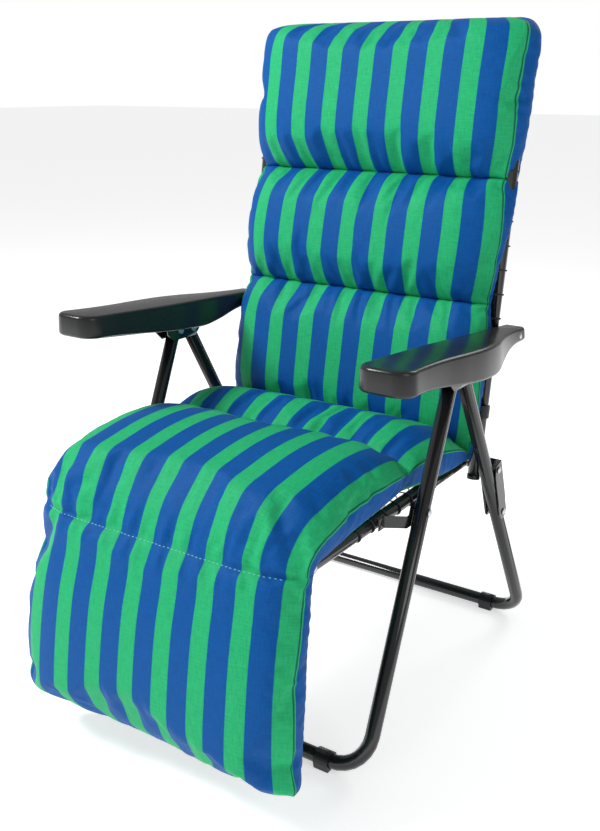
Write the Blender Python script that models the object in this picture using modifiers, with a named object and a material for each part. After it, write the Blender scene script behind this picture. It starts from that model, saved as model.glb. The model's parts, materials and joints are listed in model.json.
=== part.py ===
"""Folding, reclining sun lounger: two U-shaped leg frames, a seat frame, a back frame, a leg rest, links,
moulded armrests, slings and a striped padded mat. Metres, +Z up, the sitter faces -Y, +X is the sitter's left."""

import math

import bmesh
import bpy
from mathutils import Matrix, Vector

# ---------------------------------------------------------------- driving dimensions
LEG_TUBE = 0.022  # outside diameter of both leg frames
FRAME_TUBE = 0.020  # outside diameter of the seat, back and leg-rest frames
CROSS_TUBE = 0.016  # outside diameter of the welded cross tubes
LEG_X = 0.255  # side plane of the leg frames, from the middle
TUBE_SIDES = 20  # facets round a tube
BEND_STEPS = 7  # facets along a bend

SHEET = 0.0015  # thickness of the pressed steel
SIDE_GAP = 0.001  # play between a leg and a plate beside it
HEAD_ROOM = 0.004  # room for a thin bolt head between a plate and a tube
TUBE_GAP = 0.0035  # play between two tubes that turn side by side
TOUCH = 0.0003  # gap between pieces that rest on each other
TOP_END = 0.010  # what a tube reaches past its last pivot

BOLT = 0.006  # shank diameter
BOLT_HOLE = 0.0066
HEAD_RADIUS = 0.0055
HEAD_HEIGHT = 0.0028
THIN_HEAD = 0.0024

# Pivots in the side plane, (y, z)
FRONT_LEG_TOP = (-0.062, 0.539)
REAR_LEG_TOP = (-0.029, 0.537)
FOOT_REACH = 0.281  # each floor bar, before and behind the middle of the stance
PAD_UNDER_BAR = 0.0025  # foot clip under a floor bar
SEAT_HINGE_HEIGHT = 0.361  # on the front leg
LINK_HINGE_HEIGHT = 0.268  # on the rear leg
BACK_HINGE = (0.0995, 0.350)
ARM_HINGE = (0.133, 0.561)
LEG_REST_HINGE = (-0.350, 0.348)
LEG_REST_END = (-0.388, 0.085)

LEG_BEND = 0.055  # centreline bend radius of the leg frames
FRAME_BEND = 0.050

BACK_LENGTH = 0.650  # back hinge to the top tube
BACK_TAIL = 0.0155  # back hinge to the tube's lower end
BACK_CROSS_AT = 0.150
SEAT_CROSS_AT = (-0.285, 0.035)
LEG_REST_CROSS_AT = 0.060
SEAT_TAIL = 0.012

FOOT_X = 0.190  # middle of each foot clip, from the middle
FOOT_LENGTH = 0.024
FOOT_WALL = 0.0025
BUMPER_AT = 0.088  # up the back tube from its hinge
BUMPER_LENGTH = 0.020
CAP_LENGTH = 0.007

LINK_WEB_START = 0.019  # the link's web starts this far up, clear of the leg when folded
BRACKET_WEB_HEIGHT = 0.017  # inside of the bracket's top over the leg pivots
STRAP_HEIGHT = 0.018
EAR_RISE = 0.0155  # what the strap's ear rises above the strap
# stations along the strap: y, reach (0 at the rail, 1 at the leg), share of the ear's rise
STRAP_PLAN = (
    (-0.188, 0.0, 0.0), (-0.172, 0.0, 0.0), (-0.156, 1.0, 0.0), (-0.151, 1.0, 0.0), (-0.145, 1.0, 1.0),
    (-0.127, 1.0, 1.0), (-0.119, 1.0, 0.0), (-0.112, 1.0, 0.0), (-0.045, 0.0, 0.0), (-0.022, 0.0, 0.0),
)

ARM_WALL = 0.0025
ARM_INBOARD = 0.026  # inner edge of the armrest, inboard of the leg's side plane
ARM_TOP_FRONT = 0.6005  # height of the top at ARM_FRONT
ARM_SLOPE = -0.070  # rise of the top along +Y
ARM_FRONT = -0.284
ARM_REAR = 0.152
ARM_CORNER = 0.024
ARM_DRAFT = 0.002
# stations along the armrest: y, reach of the top outboard of the leg's side plane, height of the skirt's lower edge
ARM_STATIONS = (
    (-0.284, 0.0470, 0.571),
    (-0.230, 0.0415, 0.567),
    (-0.170, 0.0405, 0.559),
    (-0.110, 0.0450, 0.550),
    (-0.050, 0.0470, 0.543),
    (0.000, 0.0410, 0.5395),
    (0.040, 0.0305, 0.5435),
    (0.080, 0.0220, 0.5505),
    (0.115, 0.0180, 0.5535),
    (0.152, 0.0170, 0.5535),
)

MAT_HALF_WIDTH = 0.224
HEAD_OUTSIDE = 0.0075  # head pocket outside the back tube
SLING = 0.0015
SLING_EDGE = 0.008  # from a sling's edge to the tube beside it
PAD_CLEAR = 0.001  # pad to the frame under it
SEAT_PAD = 0.070  # thickness of each pad
BACK_PAD = 0.042
LEG_PAD = 0.045
HEAD_BEHIND = 0.008  # head pocket behind the tube
POCKET_PLAY = 0.0015
PAD_EDGE = 0.011  # rounding of a pad
HEAD_EDGE = 0.015  # rounding of the head pad
SEAM_GAP = 0.004  # valley between two pads at a sewn seam

HEAD_START = 0.446  # pad seams up the back, from the hinge
MIDDLE_START = 0.256
BACK_TOP = 0.677
FOLD_BACK = (0.075, 0.122)  # where the lowest back pad starts, at the sling and at its face
FOLD_SEAT = (0.060, 0.152)  # where the rear seat pad starts, at the sling and at its face
SEAT_SEAM_Y = -0.118
HINGE_RELIEF = 0.022  # the front seat pad lifts over the leg-rest tube's end
HINGE_LIFT = 0.005
LEG_PAD_END = 0.300  # down the leg rest, from its hinge

# ---------------------------------------------------------------- worked out from them
LEG_R = LEG_TUBE / 2
FRAME_R = FRAME_TUBE / 2
BAR_Z = LEG_R + PAD_UNDER_BAR
PLATE_IN = LEG_X - LEG_R - SIDE_GAP - SHEET  # inboard face of the plates round a leg
PLATE_OUT = LEG_X + LEG_R + SIDE_GAP + SHEET
BACK_X = PLATE_IN - HEAD_ROOM - FRAME_R
SEAT_X = BACK_X - FRAME_TUBE - TUBE_GAP
ARM_INNER_X = LEG_X - ARM_INBOARD
HEAD_HALF_WIDTH = BACK_X + FRAME_R + HEAD_OUTSIDE
# the knee pad's inner arc clears both the sling and the corner of the seat tube's end
KNEE_INNER = max(FRAME_R + PAD_CLEAR + HINGE_LIFT, math.hypot(SEAT_TAIL, FRAME_R) + TOUCH)
LEG_REST_X = SEAT_X - FRAME_TUBE - TUBE_GAP
FRONT_FOOT = (-FOOT_REACH, BAR_Z)
REAR_FOOT = (FOOT_REACH, BAR_Z)


def on_line(a, b, height):
    """Point of the line through a and b, in the side plane, at that height."""
    share = (height - a[1]) / (b[1] - a[1])
    return (a[0] + (b[0] - a[0]) * share, height)


def direction(a, b):
    """Unit vector from a to b in the side plane."""
    length = math.hypot(b[0] - a[0], b[1] - a[1])
    return ((b[0] - a[0]) / length, (b[1] - a[1]) / length)


def along(start, way, distance, aside=0.0):
    """Point at that distance from start along way, and aside to its left."""
    return (start[0] + way[0] * distance - way[1] * aside, start[1] + way[1] * distance + way[0] * aside)


SEAT_HINGE = on_line(FRONT_FOOT, FRONT_LEG_TOP, SEAT_HINGE_HEIGHT)
LINK_HINGE = on_line(REAR_FOOT, REAR_LEG_TOP, LINK_HINGE_HEIGHT)
BACK_WAY = direction(BACK_HINGE, ARM_HINGE)
SEAT_WAY = direction(BACK_HINGE, LEG_REST_HINGE)
LEG_REST_WAY = direction(LEG_REST_HINGE, LEG_REST_END)
LINK_WAY = direction(LINK_HINGE, BACK_HINGE)

# Each rigid body with the pivot that it turns about
BODY_PIVOTS = {
    "front_legs": FRONT_FOOT,
    "arm_brackets": FRONT_LEG_TOP,
    "armrests": FRONT_LEG_TOP,
    "rear_legs": REAR_LEG_TOP,
    "links": LINK_HINGE,
    "seat": SEAT_HINGE,
    "hinge_bolts": BACK_HINGE,
    "back": BACK_HINGE,
    "leg_rest": LEG_REST_HINGE,
}
SIDES = (("left", 1), ("right", -1))

# ---------------------------------------------------------------- helpers
parts = {}


def clear_scene():
    for thing in list(bpy.data.objects):
        bpy.data.objects.remove(thing)
    for group in list(bpy.data.collections):
        bpy.data.collections.remove(group)


def new_collection(name):
    group = bpy.data.collections.new(name)
    bpy.context.scene.collection.children.link(group)
    return group


def new_material(name, colour, roughness, metallic=0.0):
    made = bpy.data.materials.new(name)
    made.use_nodes = True
    shader = made.node_tree.nodes["Principled BSDF"]
    shader.inputs["Base Color"].default_value = (*colour, 1.0)
    shader.inputs["Roughness"].default_value = roughness
    shader.inputs["Metallic"].default_value = metallic
    made.diffuse_color = (*colour, 1.0)
    return made


def add_part(name, mesh, material, body):
    """Names a mesh as one sub-part, in its own material, riding on a body's pivot."""
    mesh.name = name
    mesh.materials.clear()
    mesh.materials.append(material)
    mesh.shade_smooth()
    mesh.set_sharp_from_angle(angle=math.radians(32))
    made = bpy.data.objects.new(name, mesh)
    lounger.objects.link(made)
    pivot = pivots[body]
    mesh.transform(Matrix.Translation(-pivot.location))
    made.parent = pivot
    parts[name] = made
    return made


def add_cutter(name, mesh):
    made = bpy.data.objects.new(name, mesh)
    cutters.objects.link(made)
    made.hide_render = True
    made.display_type = "WIRE"
    return made


def cut(part, cutter, operation="DIFFERENCE"):
    change = part.modifiers.new(cutter.name, "BOOLEAN")
    change.operation = operation
    change.solver = "EXACT"
    change.object = cutter


def mesh_from_curve(curve, matrix=None):
    """The curve's solid as a welded mesh, and the curve removed."""
    holder = bpy.data.objects.new("curve", curve)
    bpy.context.scene.collection.objects.link(holder)
    bpy.context.view_layer.update()
    mesh = bpy.data.meshes.new_from_object(holder.evaluated_get(bpy.context.evaluated_depsgraph_get()))
    bpy.data.objects.remove(holder)
    bpy.data.curves.remove(curve)
    shape = bmesh.new()
    shape.from_mesh(mesh)
    bmesh.ops.remove_doubles(shape, verts=shape.verts, dist=1e-6)
    bmesh.ops.recalc_face_normals(shape, faces=shape.faces)
    shape.to_mesh(mesh)
    shape.free()
    if matrix is not None:
        mesh.transform(matrix)
    return mesh


def rounded_path(corners, radius):
    """Corner points with each inner corner replaced by an arc of that radius."""
    points = [Vector(corners[0])]
    for before, corner, after in zip(corners, corners[1:], corners[2:]):
        corner = Vector(corner)
        back, ahead = (Vector(before) - corner).normalized(), (Vector(after) - corner).normalized()
        half = back.angle(ahead) / 2
        centre = corner + (back + ahead).normalized() * (radius / math.sin(half))
        start, end = corner + back * (radius / math.tan(half)), corner + ahead * (radius / math.tan(half))
        turn = (start - centre).angle(end - centre)
        axis = (start - centre).cross(end - centre).normalized()
        for step in range(BEND_STEPS + 1):
            points.append(centre + Matrix.Rotation(turn * step / BEND_STEPS, 3, axis) @ (start - centre))
    points.append(Vector(corners[-1]))
    return points


def tube_mesh(corners, diameter, bend=0.0):
    """A round tube along corner points."""
    curve = bpy.data.curves.new("tube", "CURVE")
    curve.dimensions = "3D"
    curve.bevel_depth = diameter / 2
    curve.bevel_resolution = (TUBE_SIDES - 4) // 2
    curve.use_fill_caps = True
    points = rounded_path(corners, bend) if bend else [Vector(c) for c in corners]
    line = curve.splines.new("POLY")
    line.points.add(len(points) - 1)
    for spot, place in zip(line.points, points):
        spot.co = (*place, 1.0)
    return mesh_from_curve(curve)


def side_plate_mesh(outlines, x_from, x_to):
    """Flat outlines in the side plane, (y, z), drawn out from x_from to x_to. A second outline is a hole."""
    curve = bpy.data.curves.new("outline", "CURVE")
    curve.dimensions = "2D"
    curve.fill_mode = "BOTH"
    curve.extrude = abs(x_to - x_from) / 2
    for outline in outlines:
        line = curve.splines.new("POLY")
        line.points.add(len(outline) - 1)
        line.use_cyclic_u = True
        for spot, (y, z) in zip(line.points, outline):
            spot.co = (y, z, 0.0, 1.0)
    upright = Matrix(((0, 0, 1, (x_from + x_to) / 2), (1, 0, 0, 0), (0, 1, 0, 0), (0, 0, 0, 1)))
    return mesh_from_curve(curve, upright)


def arc(centre, radius, start, end, steps):
    """Points of an arc in the side plane, angles in degrees from +Y towards +Z."""
    angles = [math.radians(start + (end - start) * i / steps) for i in range(steps + 1)]
    return [(centre[0] + radius * math.cos(a), centre[1] + radius * math.sin(a)) for a in angles]


def turned_part(name, profile, centre, side, material, body):
    """A solid turned about X. The profile is (distance out from the middle of the chair, radius), outboard end first."""
    outline = bmesh.new()
    spots = [outline.verts.new((radius, 0.0, out)) for out, radius in profile]
    for first, second in zip(spots, spots[1:]):
        outline.edges.new((first, second))
    mesh = bpy.data.meshes.new(name)
    outline.to_mesh(mesh)
    outline.free()
    holder = bpy.data.objects.new("turned", mesh)
    bpy.context.scene.collection.objects.link(holder)
    screw = holder.modifiers.new("turn", "SCREW")
    screw.steps = screw.render_steps = 16
    screw.use_merge_vertices = True
    screw.merge_threshold = 1e-5
    bpy.context.view_layer.update()
    solid = bpy.data.meshes.new_from_object(holder.evaluated_get(bpy.context.evaluated_depsgraph_get()))
    bpy.data.objects.remove(holder)
    bpy.data.meshes.remove(mesh)
    solid.transform(Matrix.Rotation(math.radians(90 * side), 4, "Y"))
    solid.transform(Matrix.Translation((0.0, *centre)))
    return add_part(name, solid, material, body)


def hole_cutter(name, centre, x_from, x_to, diameter=BOLT_HOLE):
    return add_cutter(name, side_plate_mesh([arc(centre, diameter / 2, 0, 345, 23)], x_from, x_to))


def box_mesh(low, high):
    shape = bmesh.new()
    bmesh.ops.create_cube(shape, size=1.0)
    size = Vector(high) - Vector(low)
    bmesh.ops.scale(shape, vec=size, verts=shape.verts)
    bmesh.ops.translate(shape, vec=(Vector(low) + Vector(high)) / 2, verts=shape.verts)
    mesh = bpy.data.meshes.new("box")
    shape.to_mesh(mesh)
    shape.free()
    return mesh


def at(side, x, point):
    """A point of the side plane at x on that side."""
    return (side * x, point[0], point[1])


# ---------------------------------------------------------------- the sub-parts
def make_leg_frame(name, top, foot, hinge, body):
    """One tube bent into a U: two legs and a floor bar, drilled for its pivots."""
    end = along(top, direction(foot, top), TOP_END)
    corners = [at(-1, LEG_X, end), at(-1, LEG_X, foot), at(1, LEG_X, foot), at(1, LEG_X, end)]
    frame = add_part(name, tube_mesh(corners, LEG_TUBE, LEG_BEND), black_paint, body)
    for label, pivot in (("top", top), ("hinge", hinge)):
        cut(frame, hole_cutter(f"{name}_{label}_hole", pivot, -LEG_X - LEG_TUBE, LEG_X + LEG_TUBE))


def make_foot_clips(name, foot, body):
    """Plastic clips under each end of a floor bar, flat where they stand."""
    outer = LEG_R + TOUCH + FOOT_WALL
    outline = arc(foot, outer, -10, 190, 14) + [(foot[0] - outer * 0.8, 0.0), (foot[0] + outer * 0.8, 0.0)]
    bore = arc(foot, LEG_R + TOUCH, 0, 345, 23)
    for label, side in SIDES:
        middle = side * FOOT_X
        mesh = side_plate_mesh([outline, bore], middle - FOOT_LENGTH / 2, middle + FOOT_LENGTH / 2)
        add_part(f"{name}_{label}", mesh, black_plastic, body)


def channel(name, outline, side, inside, body, holes):
    """A pressed U: an outline drawn across both plates, hollowed by the inside outlines and drilled."""
    x_in, x_out = sorted((side * PLATE_IN, side * PLATE_OUT))
    piece = add_part(name, side_plate_mesh([outline], x_in, x_out), black_paint, body)
    for number, hollow in enumerate(inside):
        inner = add_cutter(f"{name}_inside_{number}", side_plate_mesh([hollow], x_in + SHEET, x_out - SHEET))
        cut(piece, inner)
    for number, pivot in enumerate(holes):
        cut(piece, hole_cutter(f"{name}_hole_{number}", pivot, x_in - SHEET, x_out + SHEET))
    return piece


def make_arm_brackets():
    """Steel brackets that join the tops of both legs under each armrest."""
    top = FRONT_LEG_TOP[1] + BRACKET_WEB_HEIGHT + SHEET
    front, rear, low = FRONT_LEG_TOP[0] - 0.032, REAR_LEG_TOP[0] + 0.016, FRONT_LEG_TOP[1] - 0.015
    outline = [(front, top), (front, low + 0.013), (front + 0.014, low), (rear - 0.010, low), (rear, low + 0.010), (rear, top)]
    room = [(front - 0.01, top - SHEET), (front - 0.01, low - 0.01), (rear + 0.01, low - 0.01), (rear + 0.01, top - SHEET)]
    for label, side in SIDES:
        channel(f"arm_bracket_{label}", outline, side, [room], "arm_brackets", (FRONT_LEG_TOP, REAR_LEG_TOP))


def make_links():
    """Channels that hold the back hinge to the rear legs, open at the front so that the leg swings out."""
    length = math.dist(LINK_HINGE, BACK_HINGE)
    depth = LEG_R + SIDE_GAP
    foot_turn = math.degrees(math.atan2(LINK_WAY[1], LINK_WAY[0]))
    outline = arc(LINK_HINGE, depth, foot_turn + 90, foot_turn + 270, 12)
    outline += [
        along(LINK_HINGE, LINK_WAY, LINK_WEB_START - SHEET, -depth),
        along(LINK_HINGE, LINK_WAY, LINK_WEB_START, -depth - SHEET),
        along(LINK_HINGE, LINK_WAY, length + 0.010, -depth - SHEET),
        along(LINK_HINGE, LINK_WAY, length + 0.010, depth * 0.55),
        along(LINK_HINGE, LINK_WAY, length - 0.006, depth),
    ]
    room = [
        along(LINK_HINGE, LINK_WAY, -0.03, -depth),
        along(LINK_HINGE, LINK_WAY, length + 0.03, -depth),
        along(LINK_HINGE, LINK_WAY, length + 0.03, depth + 0.03),
        along(LINK_HINGE, LINK_WAY, -0.03, depth + 0.03),
    ]
    for label, side in SIDES:
        channel(f"link_channel_{label}", outline, side, [room], "links", (LINK_HINGE, BACK_HINGE))


def bolt_profile(out, inner, head=HEAD_HEIGHT, tail=HEAD_HEIGHT):
    """Domed head outboard, shank, and a nut inboard unless tail is 0."""
    shank = BOLT / 2
    profile = [(out + head, 0.0), (out + head * 0.9, HEAD_RADIUS * 0.6), (out + head * 0.45, HEAD_RADIUS)]
    profile += [(out, HEAD_RADIUS), (out, shank), (inner, shank)]
    if tail:
        profile += [(inner, HEAD_RADIUS), (inner - tail, HEAD_RADIUS)]
        profile += [(inner - tail, 0.0)]
    else:
        profile += [(inner, 0.0)]
    return profile


def make_bolts():
    leg_out, leg_in = PLATE_OUT + TOUCH, PLATE_IN - TOUCH
    for label, side in SIDES:
        for name, pivot, body in (
            ("front_leg_bolt", FRONT_LEG_TOP, "arm_brackets"),
            ("rear_leg_bolt", REAR_LEG_TOP, "arm_brackets"),
            ("link_lower_bolt", LINK_HINGE, "links"),
        ):
            turned_part(f"{name}_{label}", bolt_profile(leg_out, leg_in), pivot, side, zinc, body)
        stub = bolt_profile(leg_out, PLATE_IN + SHEET / 2, tail=0)
        turned_part(f"link_upper_bolt_{label}", stub, BACK_HINGE, side, zinc, "links")
        seat_bolt = bolt_profile(LEG_X + LEG_R + TOUCH, PLATE_IN - TOUCH)
        turned_part(f"seat_hinge_bolt_{label}", seat_bolt, SEAT_HINGE, side, zinc, "seat")
        arm_bolt = bolt_profile(LEG_X + ARM_STATIONS[-1][1] + ARM_DRAFT + TOUCH, BACK_X + FRAME_R + SIDE_GAP, tail=0)
        turned_part(f"arm_bolt_{label}", arm_bolt, ARM_HINGE, side, zinc, "armrests")
        make_spaced_bolt(f"back_hinge_bolt_{label}", BACK_X, SEAT_X, BACK_HINGE, side, "hinge_bolts")
        make_spaced_bolt(f"leg_rest_bolt_{label}", SEAT_X, LEG_REST_X, LEG_REST_HINGE, side, "seat")


def make_spaced_bolt(name, outer_x, inner_x, pivot, side, body):
    """A bolt through two tubes side by side, with a washer turned on it between them."""
    out, gap_out = outer_x + FRAME_R + TOUCH, outer_x - FRAME_R - TOUCH
    gap_in, inner = inner_x + FRAME_R + TOUCH, inner_x - FRAME_R - TOUCH
    shank = BOLT / 2
    profile = [(out + THIN_HEAD, 0.0), (out + THIN_HEAD * 0.6, HEAD_RADIUS), (out, HEAD_RADIUS), (out, shank)]
    profile += [(gap_out, shank), (gap_out, HEAD_RADIUS), (gap_in, HEAD_RADIUS), (gap_in, shank)]
    profile += [(inner, shank), (inner, HEAD_RADIUS), (inner - HEAD_HEIGHT, HEAD_RADIUS), (inner - HEAD_HEIGHT, 0.0)]
    turned_part(name, profile, pivot, side, zinc, body)


def make_seat_frame():
    """Two rails welded to two cross tubes."""
    rear = along(BACK_HINGE, SEAT_WAY, -SEAT_TAIL)
    front = along(LEG_REST_HINGE, SEAT_WAY, SEAT_TAIL)
    rails = [tube_mesh([at(side, SEAT_X, rear), at(side, SEAT_X, front)], FRAME_TUBE) for _, side in SIDES]
    frame = add_part("seat_frame", rails[0], black_paint, "seat")
    for number, y in enumerate(SEAT_CROSS_AT):
        height = BACK_HINGE[1] + (y - BACK_HINGE[0]) * SEAT_WAY[1] / SEAT_WAY[0]
        tube = tube_mesh([(-SEAT_X, y, height), (SEAT_X, y, height)], CROSS_TUBE)
        cut(frame, add_cutter(f"seat_cross_{number}", tube), "UNION")
    cut(frame, add_cutter("seat_rail_right", rails[1]), "UNION")
    for label, pivot in (("rear", BACK_HINGE), ("front", LEG_REST_HINGE)):
        cut(frame, hole_cutter(f"seat_{label}_hole", pivot, -LEG_X, LEG_X))


def make_seat_straps():
    """Bent straps that reach from each rail out to the front leg and carry its hinge."""
    rail_face, leg_face = SEAT_X + FRAME_R + TOUCH, PLATE_IN
    height = LEG_REST_HINGE[1]
    for label, side in SIDES:
        shape = bmesh.new()
        runs = []
        for y, reach, rise in STRAP_PLAN:
            x = rail_face + (leg_face - rail_face) * reach
            low = shape.verts.new((side * x, y, height - STRAP_HEIGHT / 2))
            high = shape.verts.new((side * x, y, height + STRAP_HEIGHT / 2 + EAR_RISE * rise))
            runs.append((low, high))
        for (a, b), (c, d) in zip(runs, runs[1:]):
            shape.faces.new((a, b, d, c) if side > 0 else (c, d, b, a))
        mesh = bpy.data.meshes.new("strap")
        shape.to_mesh(mesh)
        shape.free()
        strap = add_part(f"seat_strap_{label}", mesh, black_paint, "seat")
        wall = strap.modifiers.new("wall", "SOLIDIFY")
        wall.thickness = SHEET
        wall.offset = -1
        wall.use_even_offset = True
        x_in, x_out = sorted((side * leg_face, side * (leg_face + SHEET)))
        cut(strap, hole_cutter(f"strap_hole_{label}", SEAT_HINGE, x_in - SHEET, x_out + SHEET))


def make_u_frame(name, x, start, way, tail, length, cross_at, body, holes):
    """A tube bent into a U in the plane of way, with a welded cross tube, drilled for its pivots."""
    near, far = along(start, way, -tail), along(start, way, length)
    corners = [at(-1, x, near), at(-1, x, far), at(1, x, far), at(1, x, near)]
    frame = add_part(name, tube_mesh(corners, FRAME_TUBE, FRAME_BEND), black_paint, body)
    level = along(start, way, cross_at)
    tube = tube_mesh([at(-1, x, level), at(1, x, level)], CROSS_TUBE)
    cut(frame, add_cutter(f"{name}_cross", tube), "UNION")
    for number, pivot in enumerate(holes):
        cut(frame, hole_cutter(f"{name}_hole_{number}", pivot, -LEG_X, LEG_X))


def make_tube_sleeve(name, centre_at, length, outer, body, closed_end=False):
    """Plastic pieces round each back tube: a bumper sleeve, or a plug that caps its lower end."""
    for label, side in SIDES:
        start = along(BACK_HINGE, BACK_WAY, centre_at - length / 2)
        end = along(BACK_HINGE, BACK_WAY, centre_at + length / 2)
        sleeve = add_part(f"{name}_{label}", tube_mesh([at(side, BACK_X, start), at(side, BACK_X, end)], outer),
                          black_plastic, body)
        if not closed_end:
            bore = tube_mesh([at(side, BACK_X, along(start, BACK_WAY, -length)), at(side, BACK_X, along(end, BACK_WAY, length))],
                             FRAME_TUBE + 2 * TOUCH)
            cut(sleeve, add_cutter(f"{name}_bore_{label}", bore))


def arm_top(y):
    return ARM_TOP_FRONT + (y - ARM_FRONT) * ARM_SLOPE


def blend_between(stations, y, column):
    """Value of a station column at y, eased between stations by a cubic."""
    for index in range(len(stations) - 1):
        low, high = stations[index], stations[index + 1]
        if low[0] <= y <= high[0]:
            break
    before = stations[max(index - 1, 0)]
    after = stations[min(index + 2, len(stations) - 1)]
    span = high[0] - low[0]
    share = (y - low[0]) / span
    rise_low = (high[column] - before[column]) / (high[0] - before[0]) * span
    rise_high = (after[column] - low[column]) / (after[0] - low[0]) * span
    return (
        low[column] * (2 * share**3 - 3 * share**2 + 1)
        + rise_low * (share**3 - 2 * share**2 + share)
        + high[column] * (3 * share**2 - 2 * share**3)
        + rise_high * (share**3 - share**2)
    )


def armrest_outline():
    """Plan of the armrest's top, (x, y), counter-clockwise from the inner rear corner, with round nose corners."""
    outer_front = LEG_X + blend_between(ARM_STATIONS, ARM_FRONT + ARM_CORNER, 1)
    inner = [(ARM_INNER_X + 0.014, ARM_REAR), (ARM_INNER_X + 0.008, 0.03), (ARM_INNER_X, -0.12)]
    points = list(inner)
    points += [(ARM_INNER_X + ARM_CORNER + ARM_CORNER * math.cos(a), ARM_FRONT + ARM_CORNER + ARM_CORNER * math.sin(a))
               for a in (math.radians(180 + 90 * i / 6) for i in range(7))]
    points += [(outer_front - ARM_CORNER + ARM_CORNER * math.cos(a), ARM_FRONT + ARM_CORNER + ARM_CORNER * math.sin(a))
               for a in (math.radians(270 + 90 * i / 6) for i in range(7))]
    steps = 16
    start = ARM_FRONT + ARM_CORNER
    for step in range(1, steps + 1):
        y = start + (ARM_REAR - start) * step / steps
        points.append((LEG_X + blend_between(ARM_STATIONS, y, 1), y))
    return points


def make_armrests():
    """Moulded shells, closed on top and open below, wide at the nose and narrow at the rear."""
    outline = armrest_outline()
    middle = (ARM_INNER_X + LEG_X + LEG_R) / 2
    for label, side in SIDES:
        shape = bmesh.new()
        rim, foot = [], []
        for x, y in outline:
            outward = ARM_DRAFT if x > middle else -ARM_DRAFT
            rim.append(shape.verts.new((side * x, y, arm_top(y))))
            foot.append(shape.verts.new((side * (x + outward), y, blend_between(ARM_STATIONS, y, 2))))
        shape.faces.new(rim)
        for here in range(len(rim)):
            there = (here + 1) % len(rim)
            shape.faces.new((rim[here], foot[here], foot[there], rim[there]))
        bmesh.ops.recalc_face_normals(shape, faces=shape.faces)
        shape.faces.ensure_lookup_table()
        if shape.faces[0].normal.z < 0:
            bmesh.ops.reverse_faces(shape, faces=shape.faces)
        mesh = bpy.data.meshes.new("armrest")
        shape.to_mesh(mesh)
        shape.free()
        arm = add_part(f"armrest_{label}", mesh, black_plastic, "armrests")
        wall = arm.modifiers.new("wall", "SOLIDIFY")
        wall.thickness = ARM_WALL
        wall.offset = -1
        wall.use_even_offset = True
        cut(arm, hole_cutter(f"armrest_hole_{label}", ARM_HINGE, side * 0.2, side * 0.3))


def make_pad(name, outline, half_width, body, rounding=PAD_EDGE):
    pad = add_part(name, side_plate_mesh([outline], -half_width, half_width), mat_fabric, body)
    edge = pad.modifiers.new("edge", "BEVEL")
    edge.width = rounding
    edge.segments = 2
    edge.limit_method = "ANGLE"
    return pad


def back_point(up, forward):
    return along(BACK_HINGE, BACK_WAY, up, forward)


def make_back_pads():
    sling = FRAME_R + PAD_CLEAR
    face = sling + BACK_PAD
    lower = [back_point(FOLD_BACK[0], sling), back_point(FOLD_BACK[1], face),
             back_point(MIDDLE_START - SEAM_GAP / 2, face), back_point(MIDDLE_START - SEAM_GAP / 2, sling)]
    make_pad("back_pad_lower", lower, MAT_HALF_WIDTH, "back")
    middle = [back_point(MIDDLE_START + SEAM_GAP / 2, sling), back_point(MIDDLE_START + SEAM_GAP / 2, face),
              back_point(HEAD_START - SEAM_GAP / 2, face), back_point(HEAD_START - SEAM_GAP / 2, sling)]
    make_pad("back_pad_middle", middle, MAT_HALF_WIDTH, "back")
    behind = -FRAME_R - POCKET_PLAY - HEAD_BEHIND
    head = [back_point(HEAD_START + SEAM_GAP / 2, behind), back_point(HEAD_START + SEAM_GAP / 2, face),
            back_point(BACK_TOP, face), back_point(BACK_TOP, behind)]
    pad = make_pad("head_pad", head, HEAD_HALF_WIDTH, "back", HEAD_EDGE)
    pocket = FRAME_R + POCKET_PLAY
    hollow = [back_point(HEAD_START - 0.05, -pocket), back_point(HEAD_START - 0.05, pocket),
              back_point(BACK_LENGTH + pocket, pocket), back_point(BACK_LENGTH + pocket, -pocket)]
    inside = side_plate_mesh([hollow], -BACK_X - pocket, BACK_X + pocket)
    cut(pad, add_cutter("head_pocket", inside))


def seat_point(ahead, up):
    return along(BACK_HINGE, SEAT_WAY, ahead, -up)


def make_seat_pads():
    sling = FRAME_R + PAD_CLEAR
    face = sling + SEAT_PAD
    seam = BACK_HINGE[0] - SEAT_SEAM_Y
    front = BACK_HINGE[0] - LEG_REST_HINGE[0] - SEAM_GAP
    rear = [seat_point(FOLD_SEAT[0], sling), seat_point(seam - SEAM_GAP / 2, sling),
            seat_point(seam - SEAM_GAP / 2, face), seat_point(FOLD_SEAT[1], face)]
    make_pad("seat_pad_rear", rear, MAT_HALF_WIDTH, "seat")
    fore = [seat_point(seam + SEAM_GAP / 2, sling), seat_point(front - HINGE_RELIEF, sling),
            seat_point(front, KNEE_INNER), seat_point(front, face), seat_point(seam + SEAM_GAP / 2, face)]
    make_pad("seat_pad_front", fore, MAT_HALF_WIDTH, "seat")
    back_face = sling + BACK_PAD
    fold = [seat_point(FOLD_SEAT[0] - SEAM_GAP, sling), seat_point(FOLD_SEAT[1] - SEAM_GAP, face),
            back_point(FOLD_BACK[1] - SEAM_GAP, back_face), back_point(FOLD_BACK[0] - SEAM_GAP, sling),
            back_point(sling + SEAM_GAP, sling)]
    make_pad("fold_pad_rear", fold, MAT_HALF_WIDTH, "hinge_bolts")
    knee = [(LEG_REST_HINGE[0], LEG_REST_HINGE[1] + face)]
    reach = sling + LEG_PAD
    knee += [(LEG_REST_HINGE[0] - reach * math.sin(a), LEG_REST_HINGE[1] + face * math.cos(a))
             for a in (math.radians(20 * i) for i in range(1, 5))]
    knee.append((LEG_REST_HINGE[0] - reach, LEG_REST_HINGE[1]))
    knee += arc(LEG_REST_HINGE, KNEE_INNER, 180, 90, 4)
    make_pad("fold_pad_knee", knee, MAT_HALF_WIDTH, "seat")


def leg_point(down, forward):
    return along(LEG_REST_HINGE, LEG_REST_WAY, down, -forward)


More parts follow.
